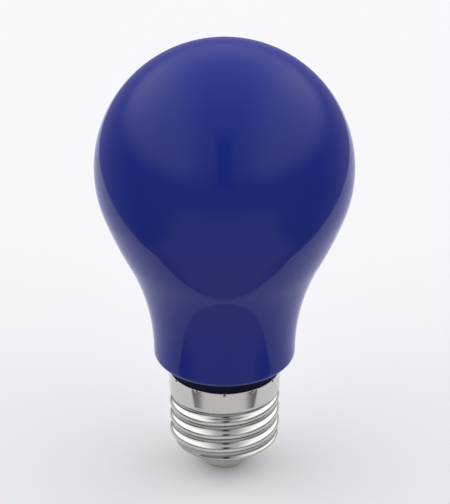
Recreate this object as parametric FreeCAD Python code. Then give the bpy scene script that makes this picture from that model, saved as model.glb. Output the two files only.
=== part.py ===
import FreeCAD, Part
import math
import os

# An LED lamp of the common pear shape: a deep blue moulded envelope on a rolled screw cap.
# Sizes are in millimetres. The origin is the middle of the centre contact's flat underside,
# and +Z runs up the lamp's axis to the crown of the head.

# Envelope, from the crown down
head_radius = 30.0
cheek_start_angle = 20.0  # degrees below the head's widest line, where its sphere ends
cheek_radius = 103.0  # long outward curve below the sphere
waist_radius = 54.0  # inward curve between cheek and neck
neck_radius = 16.7  # at the foot of the waist
neck_draft = 2.0  # degrees that the neck closes in towards the rim
neck_land = 2.0  # straight drafted stretch between waist and rim
rim_round = 1.5
shoulder_gap = 3.5  # bare spigot between the rim's underside and the shell's top edge
shoulder_fillet = 0.5

# Screw shell, a thin rolled sheet
shell_wall = 0.3
band_radius = 13.15
band_height = 4.83
thread_turn_height = 3.629  # the pitch, seven turns to the inch
thread_crest_radius = 13.1
thread_depth = 1.05
thread_height = 15.2  # from the turned-in lower end up to the band
thread_phase = 0.51  # share of a turn that sets where round the lamp the crests rise
groove_start_height = 1.9  # over which the groove deepens below the band
last_turn_height = 3.2  # over which the last turn rounds over to the lower end
lower_end_radius = 10.6  # where the last turn meets the lip
lip_round = 2.0
lip_step_width = 0.03  # by which the last turn stands out over the lip
lip_opening_radius = 9.2

# Dents that stake the shell to the spigot
dent_count = 12
dent_depth = 0.22
dent_width = 1.5
dent_drop = 0.55  # from the shell's top edge to the middle of a dent

# Insulator and centre contact
insulator_tip_radius = 6.05
insulator_cone_height = 3.85
insulator_flange_height = 1.5
contact_radius = 5.2
contact_height = 1.2
contact_round = 0.65
stem_radius = 1.5
stem_length = 2.5

# Clearances
spigot_clearance = 0.05
insulator_clearance = 0.05
stem_clearance = 0.03

# Fineness of the rolled thread's surface
thread_steps_round = 48
thread_steps_per_turn = 14

# Heights that follow, from the tip up
shell_bottom_z = contact_height + insulator_cone_height
lip_top_z = shell_bottom_z + shell_wall
lip_rise = 2 * (thread_crest_radius - lower_end_radius) / last_turn_height
lip_start_angle = math.degrees(math.atan(lip_rise))  # below the level, tangent to the last turn
lip_height = lip_round * (1 - math.sin(math.radians(lip_start_angle)))
thread_bottom_z = shell_bottom_z + lip_height
spigot_bottom_z = lip_top_z + insulator_flange_height
last_turn_top_z = thread_bottom_z + last_turn_height
band_bottom_z = thread_bottom_z + thread_height
shell_top_z = band_bottom_z + band_height
rim_z = shell_top_z + shoulder_gap

# Bores of the shell, one wall inside the narrowest place of each stretch
band_bore_radius = band_radius - shell_wall
thread_bore_radius = thread_crest_radius - thread_depth - shell_wall
end_bore_radius = lower_end_radius - lip_step_width - shell_wall


def at(radius, height):
    """The point of a turned outline at a radius and a height."""
    return FreeCAD.Vector(radius, 0, height)


def polar(radius, angle):
    """The offset of a turned outline at an angle in degrees, measured up from the level."""
    return at(radius * math.cos(math.radians(angle)), radius * math.sin(math.radians(angle)))


def arc(centre, radius, start_angle, end_angle):
    """An arc of a turned outline between two angles in degrees."""
    middle_angle = (start_angle + end_angle) / 2
    ends = [centre + polar(radius, angle) for angle in (start_angle, middle_angle, end_angle)]
    return Part.Arc(*ends).toShape()


def lines(*points):
    """Straight edges from point to point, open at the end."""
    return [Part.makeLine(start, end) for start, end in zip(points, points[1:])]


def turned(edges):
    """A solid made by turning a closed outline about the lamp's axis."""
    face = Part.Face(Part.Wire(edges))
    return face.revolve(FreeCAD.Vector(0, 0, 0), FreeCAD.Vector(0, 0, 1), 360)


def cylinder(radius, bottom_z, top_z):
    return Part.makeCylinder(radius, top_z - bottom_z, at(0, bottom_z))


def last_turn_bore_radius(z):
    """Bore of the last turn, which widens evenly from the lip up to the thread's bore."""
    share = (z - lip_top_z) / (last_turn_top_z - lip_top_z)
    return end_bore_radius + (thread_bore_radius - end_bore_radius) * share


def smooth_step(share):
    """0 up to a share of 0 and 1 from a share of 1, level at both ends."""
    share = min(max(share, 0.0), 1.0)
    return share * share * (3 - 2 * share)


def envelope():
    """Head, cheek, waist and neck as arcs that meet tangent, with the spigot for the shell.

    The envelope is sealed, so it is solid inside.
    """
    neck_cos = math.cos(math.radians(neck_draft))
    start_cos = math.cos(math.radians(cheek_start_angle))
    # the cheek ends where the waist's arc, tangent to it, comes down at the neck's radius
    end_cos = neck_radius + waist_radius * neck_cos + (cheek_radius - head_radius) * start_cos
    cheek_end_angle = math.degrees(math.acos(end_cos / (cheek_radius + waist_radius)))

    rim_centre_z = rim_z + rim_round
    draft_shift = neck_land * math.tan(math.radians(neck_draft))
    rim_centre = at(neck_radius - draft_shift - rim_round * neck_cos, rim_centre_z)
    neck_foot = rim_centre + polar(rim_round, -neck_draft)
    waist_foot = neck_foot + at(draft_shift, neck_land)
    waist_centre = waist_foot + polar(waist_radius, -neck_draft)
    cheek_end = waist_centre - polar(waist_radius, -cheek_end_angle)
    cheek_centre = cheek_end - polar(cheek_radius, -cheek_end_angle)
    cheek_start = cheek_centre + polar(cheek_radius, -cheek_start_angle)
    head_centre = cheek_start - polar(head_radius, -cheek_start_angle)
    crown_z = head_centre.z + head_radius

    band_spigot_radius = band_bore_radius - spigot_clearance
    thread_spigot_radius = thread_bore_radius - spigot_clearance
    end_spigot_radius = last_turn_bore_radius(spigot_bottom_z) - spigot_clearance
    fillet_radius = band_spigot_radius + shoulder_fillet
    fillet_centre = at(fillet_radius, rim_z - shoulder_fillet)
    edges = [
        arc(head_centre, head_radius, 90, -cheek_start_angle),
        arc(cheek_centre, cheek_radius, -cheek_start_angle, -cheek_end_angle),
        arc(waist_centre, waist_radius, 180 - cheek_end_angle, 180 - neck_draft),
        Part.makeLine(waist_foot, neck_foot),
        arc(rim_centre, rim_round, -neck_draft, -90),
        Part.makeLine(at(rim_centre.x, rim_z), at(fillet_radius, rim_z)),
        arc(fillet_centre, shoulder_fillet, 90, 180),
    ]
    edges += lines(
        at(band_spigot_radius, rim_z - shoulder_fillet),
        at(band_spigot_radius, band_bottom_z + spigot_clearance),
        at(thread_spigot_radius, band_bottom_z + spigot_clearance),
        at(thread_spigot_radius, last_turn_top_z),
        at(end_spigot_radius, spigot_bottom_z),
        at(0, spigot_bottom_z),
        at(0, crown_z),
    )
    return turned(edges)


def thread_wave(turns):
    """Share of the thread's depth at a distance in turns: 0 on a crest and 1 in a root.

    Crest and root are equal arcs that meet tangent halfway.
    """
    arc_radius = ((thread_turn_height / 2) ** 2 + thread_depth ** 2) / (4 * thread_depth)
    from_crest = abs(turns - round(turns)) * thread_turn_height
    from_root = thread_turn_height / 2 - from_crest
    nearest = min(from_crest, from_root)
    bow = arc_radius - math.sqrt(arc_radius ** 2 - nearest ** 2)
    drop = bow if from_crest < from_root else thread_depth - bow
    return drop / thread_depth


def thread_radius(turn, height):
    """Outer radius of the rolled sheet, by the turn about the axis and the height above its foot.

    The last turn rounds over along a parabola, and the groove fades out at both ends.
    """
    lack = max(1 - height / last_turn_height, 0)
    body_radius = thread_crest_radius - (thread_crest_radius - lower_end_radius) * lack ** 2
    groove_share = smooth_step(1 - lack)
    groove_share *= smooth_step((thread_height - height) / groove_start_height)
    wave = thread_wave(height / thread_turn_height - turn - thread_phase)
    return body_radius - thread_depth * groove_share * wave


def threaded_plug():
    """A plug whose side is the right-handed rolled thread, one smooth surface all round."""
    rows = round(thread_height / thread_turn_height * thread_steps_per_turn)
    grid = []
    for row in range(rows + 1):
        height = thread_height * row / rows
        ring = []
        for step in range(thread_steps_round + 1):
            turn = step % thread_steps_round / thread_steps_round
            radius = thread_radius(turn, height)
            angle = 2 * math.pi * turn
            ring.append(FreeCAD.Vector(radius * math.cos(angle), radius * math.sin(angle),
                                       thread_bottom_z + height))
        grid.append(ring)
    surface = Part.BSplineSurface()
    surface.interpolate(grid)
    surface.setVPeriodic()
    side = surface.toShape()
    level_edges = [edge for edge in side.Edges if edge.BoundBox.ZLength < shell_wall / 100]
    ends = [Part.Face(Part.Wire([edge])) for edge in level_edges]
    skin = Part.Shell([side] + ends)
    skin.sewShape()
    return Part.Solid(skin)


def lip_plug():
    """The rounded lower end of the shell, where the sheet turns in under the insulator."""
    lip_start = at(lower_end_radius - lip_step_width, thread_bottom_z)
    round_centre = lip_start - polar(lip_round, -lip_start_angle)
    edges = [arc(round_centre, lip_round, -lip_start_angle, -90)]
    edges += lines(
        at(round_centre.x, shell_bottom_z),
        at(0, shell_bottom_z),
        at(0, thread_bottom_z + shell_wall),
        at(lip_start.x, thread_bottom_z + shell_wall),
        lip_start,
    )
    return turned(edges)


def dents():
    """Balls that press the ring of dents into the band, the first one at the front."""
    ball_radius = (dent_width ** 2 / 4 + dent_depth ** 2) / (2 * dent_depth)
    reach = band_radius - dent_depth + ball_radius
    for index in range(dent_count):
        angle = 2 * math.pi * index / dent_count - math.pi / 2
        centre = FreeCAD.Vector(reach * math.cos(angle), reach * math.sin(angle),
                                shell_top_z - dent_drop)
        yield Part.makeSphere(ball_radius, centre)


def screw_shell():
    """Plain band above, rolled thread below, and the turned-in lip at the lower end."""
    band = cylinder(band_radius, band_bottom_z, shell_top_z)
    body = threaded_plug().fuse([band, lip_plug()])
    bores = [
        cylinder(band_bore_radius, band_bottom_z, shell_top_z),
        cylinder(thread_bore_radius, last_turn_top_z, band_bottom_z),
        Part.makeCone(end_bore_radius, thread_bore_radius, last_turn_top_z - lip_top_z, at(0, lip_top_z)),
        cylinder(lip_opening_radius, shell_bottom_z, lip_top_z),
    ]
    return body.cut(bores + list(dents()))


def insulator():
    """The pale cone that closes the lower end, with the flange that the shell's lip holds."""
    neck_radius_in_lip = lip_opening_radius - insulator_clearance
    flange_radius = end_bore_radius - insulator_clearance
    bore_radius = stem_radius + stem_clearance
    bore_top_z = contact_height + stem_length + stem_clearance
    points = [
        at(bore_radius, contact_height),
        at(insulator_tip_radius, contact_height),
        at(neck_radius_in_lip, shell_bottom_z),
        at(neck_radius_in_lip, lip_top_z),
        at(flange_radius, lip_top_z),
        at(flange_radius, spigot_bottom_z),
        at(0, spigot_bottom_z),
        at(0, bore_top_z),
        at(bore_radius, bore_top_z),
    ]
    return turned(lines(*points, points[0]))


def centre_contact():
    """The metal button at the tip, with the stem that carries it in the insulator."""
    round_centre = at(contact_radius - contact_round, contact_round)
    stem_top_z = contact_height + stem_length
    edges = lines(at(0, 0), at(round_centre.x, 0))
    edges.append(arc(round_centre, contact_round, -90, 0))
    edges += lines(
        at(contact_radius, contact_round),
        at(contact_radius, contact_height),
        at(stem_radius, contact_height),
        at(stem_radius, stem_top_z),
        at(0, stem_top_z),
        at(0, 0),
    )
    return turned(edges)


os.makedirs("parts", exist_ok=True)
for make in (envelope, screw_shell, insulator, centre_contact):
    shape = make()
    box = shape.BoundBox
    shape.exportStep("parts/" + make.__name__ + ".step")
    print(make.__name__, "valid", shape.isValid(), "solids", len(shape.Solids),
          "volume", round(shape.Volume, 1), "z", round(box.ZMin, 2), round(box.ZMax, 2))
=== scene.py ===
import bpy
import numpy as np
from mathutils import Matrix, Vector


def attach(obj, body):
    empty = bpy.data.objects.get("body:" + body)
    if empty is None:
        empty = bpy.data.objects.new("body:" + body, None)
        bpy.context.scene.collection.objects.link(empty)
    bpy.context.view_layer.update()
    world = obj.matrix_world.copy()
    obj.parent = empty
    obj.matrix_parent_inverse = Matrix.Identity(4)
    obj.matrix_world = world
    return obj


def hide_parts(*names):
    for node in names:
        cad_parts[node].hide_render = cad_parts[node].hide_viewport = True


# A deep blue LED lamp of the common pear shape, upright on the contact of its screw cap. Z is its
# axis. The pieces are in millimetres, outlines are points (r, z), and new_piece makes metres.
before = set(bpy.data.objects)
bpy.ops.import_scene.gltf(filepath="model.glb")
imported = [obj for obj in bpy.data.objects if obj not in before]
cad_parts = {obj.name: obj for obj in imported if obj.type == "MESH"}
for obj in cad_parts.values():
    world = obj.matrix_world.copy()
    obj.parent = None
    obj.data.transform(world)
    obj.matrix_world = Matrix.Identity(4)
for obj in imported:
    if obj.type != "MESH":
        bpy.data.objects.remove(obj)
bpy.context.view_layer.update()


# ---- Centre contact: a drawn, nickel-plated brass button with a rolled edge, held by its stem
# in the insulator. Its flat underside carries the lamp.
contact_radius, contact_height = 5.2, 1.2
rolled_edge, upper_edge = 0.65, 0.1
stem_radius, stem_top = 1.5, 3.7
stem_edge = 0.08


def arc(centre, radius, start, end, steps):
    """Points of an arc: centre + radius (cos a, sin a), with a in degrees from start to end."""
    angle = np.radians(np.linspace(start, end, steps + 1))
    return np.array(centre) + radius * np.stack([np.cos(angle), np.sin(angle)], axis=1)


def rounded(corners, radius):
    """An outline through the corners, each inner one replaced by a quadratic curve that leaves
    and meets the sides a radius away: (1-t)^2 before + 2t(1-t) corner + t^2 after."""
    corners = np.array(corners, float)
    t = np.linspace(0, 1, 6)[:, None]
    before = corners[:-2] - corners[1:-1]
    after = corners[2:] - corners[1:-1]
    before_length = np.linalg.norm(before, axis=1)
    after_length = np.linalg.norm(after, axis=1)
    reach = np.minimum(radius, 0.45 * np.minimum(before_length, after_length))
    leave = corners[1:-1] + before / before_length[:, None] * reach[:, None]
    meet = corners[1:-1] + after / after_length[:, None] * reach[:, None]
    curves = ((1 - t) ** 2 * leave[:, None] + 2 * t * (1 - t) * corners[1:-1, None]
              + t ** 2 * meet[:, None])
    return np.concatenate([corners[:1], curves.reshape(-1, 2), corners[-1:]])


def new_piece(name, points, faces, material):
    """A smooth mesh object at the origin, from points in millimetres and arrays of faces."""
    mesh = bpy.data.meshes.new(name)
    mesh.from_pydata(points * 0.001, [], sum([part.tolist() for part in faces], []))
    mesh.shade_smooth()
    mesh.materials.append(material)
    piece = bpy.data.objects.new(name, mesh)
    bpy.context.scene.collection.objects.link(piece)
    return piece


def turned(name, outline, material, steps):
    """An outline that begins and ends on the axis, turned about it: (r cos a, r sin a, z)."""
    angle = np.linspace(0, 2 * np.pi, steps, endpoint=False)
    r, z = outline[1:-1, :1], outline[1:-1, 1:]
    level = np.broadcast_to(z, (len(z), steps))
    rings = np.stack([r * np.cos(angle), r * np.sin(angle), level], axis=2)
    poles = np.array([[0, 0, outline[0, 1]], [0, 0, outline[-1, 1]]])
    points = np.concatenate([rings.reshape(-1, 3), poles])
    near = np.arange(steps)
    far = (near + 1) % steps
    row = np.arange(len(z) - 1)[:, None] * steps
    above = row + steps
    quads = np.stack([row + near, row + far, above + far, above + near], axis=2).reshape(-1, 4)
    bottom_pole, top_pole = len(points) - 2, len(points) - 1
    last_row = (len(z) - 1) * steps
    bottom_fan = np.stack([np.full(steps, bottom_pole), far, near], axis=1)
    top_fan = np.stack([np.full(steps, top_pole), last_row + near, last_row + far], axis=1)
    return new_piece(name, points, [quads, bottom_fan, top_fan], material)


def colour(code):
    """Linear RGBA of an sRGB hex colour."""
    srgb = np.array([int(code[i:i + 2], 16) for i in (1, 3, 5)]) / 255
    linear = np.where(srgb <= 0.04045, srgb / 12.92, ((srgb + 0.055) / 1.055) ** 2.4)
    return (*linear.tolist(), 1.0)


def plug(tree, target, inputs):
    """Gives each input of a node a value, or the output that it is linked to."""
    for socket, value in inputs.items():
        if isinstance(value, bpy.types.NodeSocket):
            tree.links.new(value, target.inputs[socket])
        else:
            target.inputs[socket].default_value = value


def node(tree, kind, inputs, **settings):
    """Adds a shader node with its settings and inputs."""
    made = tree.nodes.new(kind)
    for key, value in settings.items():
        setattr(made, key, value)
    plug(tree, made, inputs)
    return made


def new_material(name):
    """A material with its node tree and its Principled shader."""
    material = bpy.data.materials.new(name)
    material.use_nodes = True
    return material, material.node_tree, material.node_tree.nodes["Principled BSDF"]


# Turned brass, nickel plated: a grey, slightly milky metal with faint rings from the lathe. The
# real rings are 0.1 mm apart and are drawn 0.5 mm apart, so that they show. Scales are per metre,
# a ring wave of scale 1 is 0.314 m long, and inputs 6 and 7 of a Mix node are its two colours.
contact_nickel, tree, shader = new_material("turned nickel-plated brass")
place = node(tree, "ShaderNodeTexCoord", {}).outputs["Object"]
rings = node(tree, "ShaderNodeTexWave", {
    "Vector": place, "Scale": 0.314 / 0.0005, "Distortion": 1.0, "Detail": 2.0,
}, wave_type="RINGS", rings_direction="Z")
handled = node(tree, "ShaderNodeTexNoise", {"Vector": place, "Scale": 1 / 0.0015, "Detail": 4.0})
tone = node(tree, "ShaderNodeMix", {
    0: handled.outputs["Fac"], 6: colour("#DAD6CE"), 7: colour("#C9C4BA"),
}, data_type="RGBA")
milky = node(tree, "ShaderNodeMapRange", {
    "Value": handled.outputs["Fac"], "To Min": 0.16, "To Max": 0.3,
})
cut = node(tree, "ShaderNodeBump", {
    "Height": rings.outputs["Fac"], "Strength": 0.25, "Distance": 0.00001,
})
plug(tree, shader, {
    "Base Color": tone.outputs[2], "Roughness": milky.outputs[0], "Normal": cut.outputs["Normal"],
    "Metallic": 1.0,
})

contact = turned("contact_button", np.concatenate([
    [(0, 0)],
    arc((contact_radius - rolled_edge, rolled_edge), rolled_edge, -90, 0, 12),
    arc((contact_radius - upper_edge, contact_height - upper_edge), upper_edge, 0, 90, 5),
    rounded([
        (contact_radius - 2 * upper_edge, contact_height), (stem_radius, contact_height),
        (stem_radius, stem_top), (0, stem_top),
    ], stem_edge),
]), contact_nickel, 128)
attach(contact, "root")
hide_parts("centre_contact")


# ---- Insulator: a pale grey moulded cone that closes the shell's lower end. Its flange lies
# above the shell's turned-in lip, and its bore takes the contact's stem.
stem_clearance = 0.03
tip_radius, cone_height = 6.05, 3.85
lip_seat_radius, sheet = 9.15, 0.3
flange_radius, flange_height = 10.22, 1.5
moulded_edge = 0.2
shell_bottom = contact_height + cone_height
lip_top = shell_bottom + sheet
flange_top = lip_top + flange_height

# Filled moulding resin, pressed hot: pale grey with a fine mottle and a dry, satin skin. Its
# filler grains are about 0.3 mm, in clouds of about 1.2 mm.
insulator_resin, tree, shader = new_material("pale grey moulded resin")
place = node(tree, "ShaderNodeTexCoord", {}).outputs["Object"]
clouds = node(tree, "ShaderNodeTexNoise", {
    "Vector": place, "Scale": 1 / 0.0012, "Detail": 5.0, "Roughness": 0.65,
})
grains = node(tree, "ShaderNodeTexNoise", {"Vector": place, "Scale": 1 / 0.0003, "Detail": 2.0})
mottle = node(tree, "ShaderNodeMapRange", {
    "Value": clouds.outputs["Fac"], "From Min": 0.35, "From Max": 0.65,
})
tone = node(tree, "ShaderNodeMix", {
    0: mottle.outputs[0], 6: colour("#F1EEE9"), 7: colour("#E4E1DC"),
}, data_type="RGBA")
satin = node(tree, "ShaderNodeMapRange", {
    "Value": clouds.outputs["Fac"], "To Min": 0.35, "To Max": 0.55,
})
skin = node(tree, "ShaderNodeBump", {
    "Height": grains.outputs["Fac"], "Strength": 0.2, "Distance": 0.00003,
})
plug(tree, shader, {
    "Base Color": tone.outputs[2], "Roughness": satin.outputs[0], "Normal": skin.outputs["Normal"],
})

insulator = turned("insulator_cone", rounded([
    (0, stem_top + stem_clearance),
    (stem_radius + stem_clearance, stem_top + stem_clearance),
    (stem_radius + stem_clearance, contact_height),
    (tip_radius, contact_height),
    (lip_seat_radius, shell_bottom),
    (lip_seat_radius, lip_top),
    (flange_radius, lip_top),
    (flange_radius, flange_top),
    (0, flange_top),
], moulded_edge), insulator_resin, 190)
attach(insulator, "root")
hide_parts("insulator")


# ---- Screw shell: thin brass sheet drawn to a cup, rolled with a right-handed round thread,
# nickel plated, and staked to the spigot by a ring of punch marks under its top edge.
pitch, thread_depth, thread_phase = 3.629, 1.05, 0.51  # the phase is a share of a turn
crest_radius, lower_end_radius, band_radius = 13.1, 10.6, 13.15
thread_bottom, thread_height, last_turn, run_out = 5.365, 15.2, 3.2, 1.9
thread_top = thread_bottom + thread_height
shell_top = 25.395
lip_opening_radius, lip_round, lip_round_centre = 9.2, 2.0, 9.52
band_bore, thread_bore, end_bore = band_radius - sheet, crest_radius - thread_depth - sheet, 10.27
dent_count, dent_height = 12, 25.1
hollow_radius, hollow_depth = 0.8, 0.1
punch_radius, punch_depth = 0.36, 0.14


def smooth(share):
    """0 below a share of 0, 1 above a share of 1, and 3s^2 - 2s^3 between."""
    share = np.clip(share, 0, 1)
    return share * share * (3 - 2 * share)


def thread_radius(turn, height):
    """Outer radius: body - groove x drop, where drop runs from 0 on a crest to the depth in a
    root by two equal arcs that meet tangent. The body rounds over along a parabola in the last
    turn, and the groove fades out at both ends."""
    arc_radius = ((pitch / 2) ** 2 + thread_depth ** 2) / (4 * thread_depth)
    phase = height / pitch - turn - thread_phase
    from_crest = np.abs(phase - np.round(phase)) * pitch
    from_root = pitch / 2 - from_crest
    bow = arc_radius - np.sqrt(arc_radius ** 2 - np.minimum(from_crest, from_root) ** 2)
    drop = np.where(from_crest < from_root, bow, thread_depth - bow)
    lack = np.clip(1 - height / last_turn, 0, 1)
    groove = smooth(1 - lack) * smooth((thread_height - height) / run_out)
    return crest_radius - (crest_radius - lower_end_radius) * lack ** 2 - groove * drop


def shell_surface():
    """Rows of points that run out under the lip, up the thread and band, over the round top
    edge and down the bore. At a distance d from the middle of a dent the sheet dips by the
    hollow's depth x (1 - d^2/hollow^2)^2, and by the punch's depth x (1 - d^2/punch^2)^1.5 more.
    The third result, painted shade on the plate, grows to 0.35 in the roots and the lip and
    to 1 in the dents."""
    # columns, close together within 3 degrees of each dent, the first dent at the front
    sector = np.concatenate([
        np.linspace(-3, 3, 20, endpoint=False),
        np.linspace(3, 360 / dent_count - 3, 18, endpoint=False),
    ])
    dent_angle = np.arange(dent_count)[:, None] * 360 / dent_count - 90
    angle = np.radians((dent_angle + sector).ravel())
    around = np.ones((1, len(angle)))

    lip = np.concatenate([
        arc((lip_opening_radius + sheet / 2, shell_bottom + sheet / 2), sheet / 2, 180, 270, 4),
        arc((lip_round_centre, shell_bottom + lip_round), lip_round, -90, -60, 8),
    ])
    heights = np.linspace(0, thread_height, 118)[:, None]
    thread_r = thread_radius(angle[None, :] / (2 * np.pi), heights)
    # rows of the band, close together above the thread and beside the dents
    band = np.concatenate([
        [20.62, 20.66, 20.72, 20.85], np.linspace(21.1, 23.7, 5), np.linspace(23.9, 25.235, 25),
    ])
    top_edge = arc((band_radius - sheet / 2, shell_top - sheet / 2), sheet / 2, 0, 180, 10)
    sides = np.concatenate([np.stack([np.full(len(band), band_radius), band], axis=1), top_edge])
    # the bore, with corners broken by 0.05 mm
    bore = np.array([
        (band_bore, 20.7), (band_bore - 0.05, 20.58), (thread_bore + 0.05, thread_top),
        (thread_bore, 20.5), (thread_bore, 8.57), (end_bore, 5.38), (end_bore - 0.05, lip_top),
        (lip_opening_radius + 0.05, lip_top),
    ])

    half_sector = 180 / dent_count
    from_dent = (np.degrees(angle) + 90 + half_sector) % (2 * half_sector) - half_sector
    d = np.hypot(np.radians(from_dent)[None, :] * band_radius, sides[:, 1:] - dent_height)
    dip = (hollow_depth * np.clip(1 - (d / hollow_radius) ** 2, 0, 1) ** 2
           + punch_depth * np.clip(1 - (d / punch_radius) ** 2, 0, 1) ** 1.5)
    dented = sides[:, :1] - dip * np.clip((sides[:, :1] - band_bore) / sheet, 0, 1)

    r = np.concatenate([lip[:, :1] * around, thread_r, dented, bore[:, :1] * around])
    z = np.concatenate([lip[:, 1], thread_bottom + heights[:, 0], sides[:, 1], bore[:, 1]])
    points = np.stack([r * np.cos(angle), r * np.sin(angle), z[:, None] * around], axis=2)
    rows, columns = points.shape[:2]
    i, j = np.meshgrid(np.arange(rows), np.arange(columns), indexing="ij")
    row, above = i * columns, (i + 1) % rows * columns
    far = (j + 1) % columns
    quads = np.stack([row + j, row + far, above + far, above + j], axis=2)

    # painted shade: 0.35 in the thread's roots and the lip, rising to 1 in the punch marks
    in_root = 0.35 * smooth((crest_radius - thread_r - 0.5 * thread_depth) / (0.5 * thread_depth))
    in_dent = np.clip(1.3 - d / 0.35, 0, 1)
    painted_shade = np.concatenate([
        np.full((len(lip), 1), 0.35) * around, in_root, in_dent, np.zeros((len(bore), 1)) * around,
    ])
    return points.reshape(-1, 3), quads.reshape(-1, 4), painted_shade.ravel()


# Bright nickel plate on drawn brass: a clear mirror with a faint waviness. Painted shade darkens
# the plate in the thread's roots and the lip, and makes it nearly black in the punch marks. The
# draw marks run round it, 0.1 mm apart on the real one and 0.6 mm here.
shell_nickel, tree, shader = new_material("bright nickel-plated brass sheet")
place = node(tree, "ShaderNodeTexCoord", {}).outputs["Object"]
painted_shade = node(tree, "ShaderNodeAttribute", {}, attribute_name="painted_shade").outputs["Fac"]
smears = node(tree, "ShaderNodeTexNoise", {"Vector": place, "Scale": 1 / 0.003, "Detail": 4.0})
around = node(tree, "ShaderNodeMapping", {
    "Vector": place, "Scale": (1 / 0.025, 1 / 0.025, 1 / 0.0006),
})
marks = node(tree, "ShaderNodeTexNoise", {
    "Vector": around.outputs["Vector"], "Scale": 1.0, "Detail": 3.0,
})
# painted shade: the plate colour turns to near-black #262321 in the roots, the lip and the punch
# marks
plate = node(tree, "ShaderNodeMix", {
    0: painted_shade, 6: colour("#D1CFCB"), 7: colour("#262321"),
}, data_type="RGBA")
clear = node(tree, "ShaderNodeMapRange", {
    "Value": smears.outputs["Fac"],
    "From Min": 0.3, "From Max": 0.7, "To Min": 0.05, "To Max": 0.11,
})
drawn = node(tree, "ShaderNodeBump", {
    "Height": marks.outputs["Fac"], "Strength": 0.12, "Distance": 0.00001,
})
plug(tree, shader, {
    "Base Color": plate.outputs[2], "Roughness": clear.outputs[0],
    "Normal": drawn.outputs["Normal"], "Metallic": 1.0,
})

points, quads, painted_shade_per_point = shell_surface()
shell = new_piece("shell_sheet", points, [quads], shell_nickel)
# this attribute carries the painted shade of the roots, the lip and the punch marks
shell.data.attributes.new("painted_shade", "FLOAT", "POINT").data.foreach_set("value", painted_shade_per_point)
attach(shell, "root")
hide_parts("screw_shell")


# ---- Envelope: one pear-shaped body in deep blue pigmented polycarbonate with a high gloss.
# A rounded rim ends it above the cap, and a recessed spigot goes down into the shell.
head_radius, cheek_radius, waist_radius, neck_radius = 30.0, 103.0, 54.0, 16.7
cheek_start = np.radians(20.0)  # below the head's widest line
neck_draft, neck_land = np.radians(2.0), 2.0
rim_round, rim_z = 1.5, 28.895
spigot_radius, spigot_top = 12.8, 28.4
thread_spigot_radius, shoulder_z = 11.7, 20.62
shoulder_fillet = 0.5


def straight(start, end, steps):
    """Points of a straight line, both ends with it."""
    return np.linspace(start, end, steps + 1)


def polar(radius, angle):
    """The offset (r, z) at an angle in radians above the level."""
    return np.array([radius * np.cos(angle), radius * np.sin(angle)])


def envelope_outline():
    """Spigot, rim, neck, waist, cheek and head as lines and arcs that meet tangent. The cheek
    ends at the angle where the waist's arc, tangent to it, comes down at the neck's radius."""
    across = (neck_radius + waist_radius * np.cos(neck_draft)
              + (cheek_radius - head_radius) * np.cos(cheek_start))
    cheek_end = np.arccos(across / (cheek_radius + waist_radius))
    draft_shift = neck_land * np.tan(neck_draft)
    rim_centre = np.array([neck_radius - draft_shift - rim_round * np.cos(neck_draft),
                           rim_z + rim_round])
    neck_foot = rim_centre + polar(rim_round, -neck_draft)
    waist_foot = neck_foot + (draft_shift, neck_land)
    waist_centre = waist_foot + polar(waist_radius, -neck_draft)
    cheek_foot = waist_centre - polar(waist_radius, -cheek_end)
    cheek_centre = cheek_foot - polar(cheek_radius, -cheek_end)
    cheek_top = cheek_centre + polar(cheek_radius, -cheek_start)
    head_centre = cheek_top - polar(head_radius, -cheek_start)
    end, start, draft = np.degrees([cheek_end, cheek_start, neck_draft])
    spigot = rounded([
        (0, flange_top), (10.9, flange_top), (thread_spigot_radius, 8.6),
        (thread_spigot_radius, shoulder_z), (spigot_radius, shoulder_z),
        (spigot_radius, spigot_top),
    ], 0.15)
    fillet_radius = spigot_radius + shoulder_fillet
    return np.concatenate([
        spigot,
        arc((fillet_radius, spigot_top), shoulder_fillet, 180, 90, 8)[1:],
        straight((fillet_radius, rim_z), (rim_centre[0], rim_z), 3)[1:],
        arc(rim_centre, rim_round, -90, -draft, 24)[1:],
        straight(neck_foot, waist_foot, 4)[1:],
        arc(waist_centre, waist_radius, 180 - draft, 180 - end, 48)[1:],
        arc(cheek_centre, cheek_radius, -end, -start, 28)[1:],
        arc(head_centre, head_radius, -start, 90, 112)[1:-1],
        [(0, head_centre[1] + head_radius)],
    ])


# Polycarbonate dyed deep blue, moulded in a polished tool: a wet, even gloss over a colour that
# drifts slightly over 22 mm, with the faint orange peel of a moulding, 2.4 mm across. The spigot
# below the rim keeps the tool's spark-eroded finish and is dull, and its near-black colour is
# painted shade for the recess under the rim. The reflections on the real lamp are faint, so the
# IOR is below that of clear polycarbonate, and a violet sheen gives the light that the dye
# scatters at the edges.
envelope_plastic, tree, shader = new_material("deep blue gloss polycarbonate")
place = node(tree, "ShaderNodeTexCoord", {}).outputs["Object"]
dye = node(tree, "ShaderNodeTexNoise", {"Vector": place, "Scale": 1 / 0.022, "Detail": 3.0})
peel = node(tree, "ShaderNodeTexNoise", {"Vector": place, "Scale": 1 / 0.0024, "Detail": 2.0})
smears = node(tree, "ShaderNodeTexNoise", {"Vector": place, "Scale": 1 / 0.009, "Detail": 4.0})
blue = node(tree, "ShaderNodeMix", {
    0: dye.outputs["Fac"], 6: colour("#1A2983"), 7: colour("#21318A"),
}, data_type="RGBA")
height = node(tree, "ShaderNodeSeparateXYZ", {"Vector": place}).outputs["Z"]
polished_and_unshaded = node(tree, "ShaderNodeMapRange", {
    "Value": height, "From Min": 0.0285, "From Max": 0.0295,
}).outputs[0]
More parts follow.
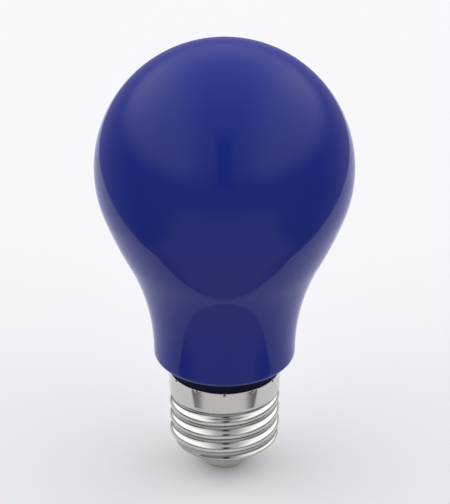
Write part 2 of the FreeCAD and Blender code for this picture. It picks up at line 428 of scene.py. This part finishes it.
# painted shade: below the rim the blue turns to near-black #060A26, the shade of the recess
body = node(tree, "ShaderNodeMix", {
    0: polished_and_unshaded, 6: colour("#060A26"), 7: blue.outputs[2],
}, data_type="RGBA")
gloss = node(tree, "ShaderNodeMapRange", {
    "Value": smears.outputs["Fac"],
    "From Min": 0.3, "From Max": 0.7, "To Min": 0.03, "To Max": 0.07,
})
finish = node(tree, "ShaderNodeMix", {0: polished_and_unshaded, 2: 0.75, 3: gloss.outputs[0]})
wave = node(tree, "ShaderNodeBump", {
    "Height": peel.outputs["Fac"], "Strength": 0.06, "Distance": 0.0002,
})
plug(tree, shader, {
    "Base Color": body.outputs[2], "Roughness": finish.outputs[0], "Normal": wave.outputs["Normal"],
    "IOR": 1.28,
    "Sheen Weight": 0.35, "Sheen Roughness": 0.4, "Sheen Tint": colour("#6A54FF"),
})

envelope = turned("envelope_body", envelope_outline(), envelope_plastic, 214)
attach(envelope, "root")
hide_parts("envelope")


# ---- Floor, light and camera: a round, pale table top under the lamp, a light tent that is
# bright above and at the sides and dim towards the camera, and a long lens that looks down.
table_radius, table_middle = 180, 150
camera_elevation = np.radians(28.11)
camera_distance, aim_height = 0.7548, 0.056  # metres

# Pale card: dry and even, white where it is seen or mirrored. It sends less light back to the
# lamp than it shows, so that the underside of the head stays deep blue.
floor_card, tree, shader = new_material("pale matt card")
ray = node(tree, "ShaderNodeLightPath", {}).outputs
mirrored = node(tree, "ShaderNodeMath", {
    0: ray["Is Glossy Ray"], 1: ray["Is Transmission Ray"],
}, operation="MAXIMUM")
seen = node(tree, "ShaderNodeMath", {
    0: ray["Is Camera Ray"], 1: mirrored.outputs[0],
}, operation="MAXIMUM")
card = node(tree, "ShaderNodeMix", {
    0: seen.outputs[0], 6: colour("#A8A8AB"), 7: colour("#F0F0F3"),
}, data_type="RGBA")
plug(tree, shader, {
    "Base Color": card.outputs[2], "Roughness": 0.9, "Specular IOR Level": 0.1,
})
turn = np.radians(np.arange(0, 360, 2))
edge = np.stack([
    table_radius * np.cos(turn), table_middle + table_radius * np.sin(turn), np.zeros(len(turn)),
], axis=1)
floor = new_piece("floor", edge, [np.arange(len(turn))[None, :]], floor_card)

world = bpy.data.worlds.new("light tent")
world.use_nodes = True
bpy.context.scene.world = world
tree = world.node_tree
direction = node(tree, "ShaderNodeTexCoord", {}).outputs["Generated"]
parts = node(tree, "ShaderNodeSeparateXYZ", {"Vector": direction}).outputs
towards = node(tree, "ShaderNodeVectorMath", {
    0: direction, 1: (0.0, -0.85, 0.527),
}, operation="DOT_PRODUCT")
light = {
    "back": parts["Y"],
    "up": parts["Z"],
    "sideways": node(tree, "ShaderNodeMath", {0: parts["X"]}, operation="ABSOLUTE").outputs[0],
    "to camera": towards.outputs["Value"],
}

# Each level changes smoothly with one measure of the direction: the measure, where the change
# starts and ends, and the level at its start and end.
for name, (measure, start, end, low, high) in {
    "front ring": ("back", -0.8, -0.1, 0.18, 0.0),
    "rear ring": ("back", -0.1, 0.6, 0.15, 0.3),
    "sky by height": ("up", 0.05, 0.6, 0.0, 0.7),
    "sky by depth": ("back", -0.7, 0.1, 0.42, 0.95),
    "sides by width": ("sideways", 0.2, 0.7, 0.0, 0.9),
    "sides by height": ("up", 0.05, 0.4, 0.0, 1.0),
    "below by height": ("up", -0.1, -0.4, 0.0, 0.4),
    "below by width": ("sideways", 0.55, 0.75, 1.0, 0.0),
    "below by depth": ("back", -0.3, 0.1, 1.0, 0.0),
    "opening by angle": ("to camera", 0.86, 0.98, 1.0, 0.06),
    "opening by width": ("sideways", 0.03, 0.2, 0.06, 1.0),
}.items():
    light[name] = node(tree, "ShaderNodeMapRange", {
        "Value": light[measure], "From Min": start, "From Max": end, "To Min": low, "To Max": high,
    }, interpolation_type="SMOOTHSTEP").outputs[0]

# The tent is the sum of its ring, sky, sides and underside, all dimmed at the camera's opening.
for name, operation, first, second in (
    ("ring", "ADD", "front ring", "rear ring"),
    ("sky", "MULTIPLY", "sky by height", "sky by depth"),
    ("sides", "MULTIPLY", "sides by width", "sides by height"),
    ("middle below", "MULTIPLY", "below by height", "below by width"),
    ("below", "MULTIPLY", "middle below", "below by depth"),
    ("opening", "MAXIMUM", "opening by angle", "opening by width"),
    ("ring and sky", "ADD", "ring", "sky"),
    ("upper tent", "ADD", "ring and sky", "sides"),
    ("tent", "ADD", "upper tent", "below"),
    ("dimmed tent", "MULTIPLY", "tent", "opening"),
):
    light[name] = node(tree, "ShaderNodeMath", {
        0: light[first], 1: light[second],
    }, operation=operation).outputs[0]
plug(tree, tree.nodes["Background"], {"Color": colour("#FFFFFF"), "Strength": light["dimmed tent"]})

camera = bpy.data.cameras.new("camera")
camera.sensor_width = 36.0
camera.lens = 231.83
camera.shift_x = 0.001
camera.clip_start = 0.05
viewer = bpy.data.objects.new("camera", camera)
viewer.location = (
    0, -camera_distance * np.cos(camera_elevation),
    aim_height + camera_distance * np.sin(camera_elevation),
)
to_aim = Vector((0, 0, aim_height)) - viewer.location
viewer.rotation_euler = to_aim.to_track_quat("-Z", "Y").to_euler()
bpy.context.scene.collection.objects.link(viewer)
bpy.context.scene.camera = viewer
bpy.context.scene.view_settings.view_transform = "Standard"
